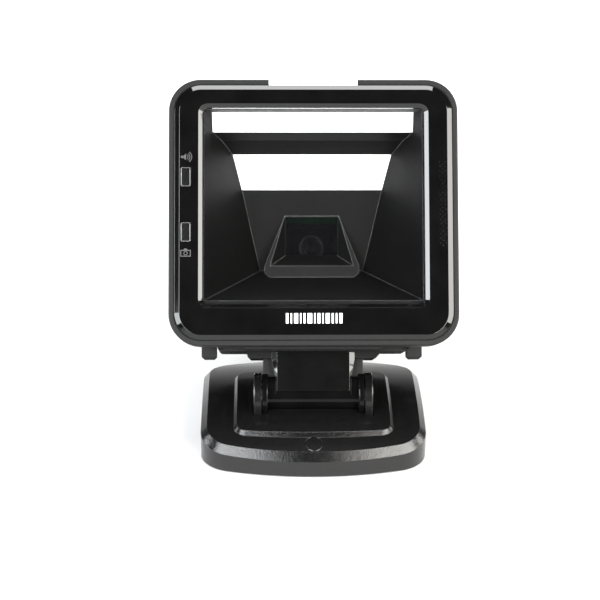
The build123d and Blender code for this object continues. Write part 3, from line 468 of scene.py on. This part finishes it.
def bar_mark(v, half_w, half_h):
    """A plain row of upright bars of mixed widths, in place of the maker's marking."""
    widths = (1.3, 0.7, 2.0, 0.7, 1.0, 2.3, 0.7, 1.3, 0.7, 2.0, 1.0, 0.7, 1.6)
    gap = (2 * half_w - sum(widths)) / (len(widths) - 1)
    bars, u = [], -half_w
    for width in widths:
        bars.append(rectangle(u, u + width, v - half_h, v + half_h))
        u += width + gap
    return bars


def ink(name, tone):
    """Pad-printed ink with a slightly uneven coat."""
    m = Shade(name).set(ior=1.45)
    cover = m.noise(900, 3, 0.6)
    m.join(m.ramp(cover, [(0.3, (tone * 0.9,) * 3), (0.7, (tone,) * 3)]), "Color", m.bsdf,
           "Base Color")
    m.join(m.spread(cover, 0.4, 0.55), "Result", m.bsdf, "Roughness")
    m.bump(m.noise(2600, 2), 0.15, 0.01)
    return m.mat


def add_prints():
    """Faint pictures beside the keys and a white row of bars under the window."""
    face = Face()
    white, faint = ink("print_white", WHITE_INK), ink("print_grey", FAINT_INK)
    key_low, key_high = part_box("volume_key")
    key_u = (key_low.x + key_high.x) / 2 / MM
    printed(face, "volume_icon", speaker_icon(key_u + 0.3, VOLUME_ICON_V), faint)
    printed(face, "camera_icon", camera_icon(key_u, CAMERA_ICON_V), faint)
    printed(face, "bar_mark", bar_mark(MARK_V, MARK_HALF_W, MARK_HALF_H), white)


# ---------------------------------------------------------------- stage, light and camera

# Where the stage's painted light changes: heights on the walls, then places along the floor.
WALL_FADE = (0.05, 0.84)
FRONT_FADE = (-0.55, -0.2)
BACK_FADE = (0.85, 1.35)
GLOW_RISE = (-0.3, 0.6)


def stage_material(name, tone, wall_glow):
    """Matte white with a painted light pool, fading to dark up the wall and towards the front
    edge.
    """
    m = Shade(name).set(rough=0.8)
    split = m.add("ShaderNodeSeparateXYZ")
    m.join(m.place, "Object", split, "Vector")
    along = m.add("ShaderNodeMath", operation="MULTIPLY")
    m.join(m.spread(split, 0.2, 1.0, "Y", *FRONT_FADE), "Result", along, 0)
    m.join(m.spread(split, 1.0, 0.55, "Y", *BACK_FADE), "Result", along, 1)
    painted_falloff = m.add("ShaderNodeMath", operation="MULTIPLY")
    m.join(m.spread(split, 1.0, 0.0, "Z", *WALL_FADE), "Result", painted_falloff, 0)
    m.join(along, "Value", painted_falloff, 1)
    tint = m.ramp(painted_falloff, [(0.0, (0.01,) * 3), (1.0, (tone,) * 3)], "Value")
    m.join(tint, "Color", m.bsdf, "Base Color")
    m.join(tint, "Color", m.bsdf, "Emission Color")
    # A painted glow on the floor, rising towards the back, keeps it white where shadows would
    # fall.
    glow = m.spread(split, 0.0, wall_glow, "Y", *GLOW_RISE)
    m.join(glow, "Result", m.bsdf, "Emission Strength")
    return m.mat


def add_floor():
    """A pale floor that curves up into a low wall behind, with low walls at the sides."""
    half, front, back, rise, radius = 2.6, -1.3, 1.7, 0.86, 0.3
    profile = [(front, 0.0), (back - radius, 0.0)]
    steps = 10
    for step in range(1, steps + 1):
        turn = pi / 2 * step / steps
        profile.append((back - radius + radius * sin(turn), radius * (1 - cos(turn))))
    profile.append((back, rise))
    verts = [(x, y, z) for y, z in profile for x in (-half, half)]
    faces = [(2 * i, 2 * i + 1, 2 * i + 3, 2 * i + 2) for i in range(len(profile) - 1)]
    for x in (-half, half):
        start = len(verts)
        verts += [(x, front, 0.0), (x, back, 0.0), (x, back, rise), (x, front, rise)]
        faces.append((start, start + 1, start + 2, start + 3))
    mesh = bpy.data.meshes.new("floor")
    mesh.from_pydata(verts, [], faces)
    mesh.polygons.foreach_set("use_smooth", [True] * len(mesh.polygons))
    floor = bpy.data.objects.new("floor", mesh)
    bpy.context.scene.collection.objects.link(floor)
    mesh.materials.append(stage_material("floor_white", 0.47, 1.9))


def add_softbox(name, azimuth, elevation, distance, size, radiance, color=(1, 1, 1)):
    """An upright rectangle of light round the scanner; azimuth 0 is straight in front."""
    light = bpy.data.lights.new(name, "AREA")
    light.shape = "RECTANGLE"
    light.size, light.size_y = size
    light.energy = radiance * pi * size[0] * size[1]
    light.color = color
    turn, rise = radians(azimuth), radians(elevation)
    out = Vector((sin(turn) * cos(rise), -cos(turn) * cos(rise), sin(rise)))
    lamp = bpy.data.objects.new(name, light)
    lamp.location = Vector((0, 0, 0.05)) + out * distance
    level = Vector((-out.x, -out.y, 0)) if elevation < 80 else -out
    lamp.rotation_euler = level.to_track_quat("-Z", "Y").to_euler()
    bpy.context.scene.collection.objects.link(lamp)


def add_lights():
    """Two big boxes in front, a strip at each side, one box above and a dim room."""
    world = bpy.data.worlds.new("studio")
    bpy.context.scene.world = world
    world.use_nodes = True
    world.node_tree.nodes["Background"].inputs["Color"].default_value = (1, 1, 1, 1)
    world.node_tree.nodes["Background"].inputs["Strength"].default_value = 0.04
    cool, warm = (0.95, 0.98, 1.0), (1.0, 0.98, 0.94)
    add_softbox("left_front_box", -39, 27, 1.25, (0.95, 1.0), 13, cool)
    add_softbox("right_front_box", 46, 27, 1.25, (1.2, 1.0), 13, warm)
    add_softbox("left_side_strip", -91, 10, 1.0, (0.4, 0.4), 16, cool)
    add_softbox("right_side_strip", 91, 10, 1.0, (0.5, 0.4), 13, warm)
    add_softbox("top_box", 0, 89, 1.3, (0.9, 0.45), 12)


CAMERA_PLACE = (-0.0242, -0.808, 0.4659)
CAMERA_TURN = (64.252, -0.4, -1.032)
CAMERA_LENS, SENSOR_WIDTH = 102.57, 36


def add_camera():
    """The studio view: slightly left of centre, looking down at the tilted face."""
    data = bpy.data.cameras.new("camera")
    data.sensor_width = SENSOR_WIDTH
    data.lens = CAMERA_LENS
    camera = bpy.data.objects.new("camera", data)
    camera.location = CAMERA_PLACE
    camera.rotation_euler = [radians(turn) for turn in CAMERA_TURN]
    bpy.context.scene.collection.objects.link(camera)
    bpy.context.scene.camera = camera


dress_nodes()
add_prints()
add_floor()
add_lights()
add_camera()
bpy.context.scene.view_settings.view_transform = "Standard"
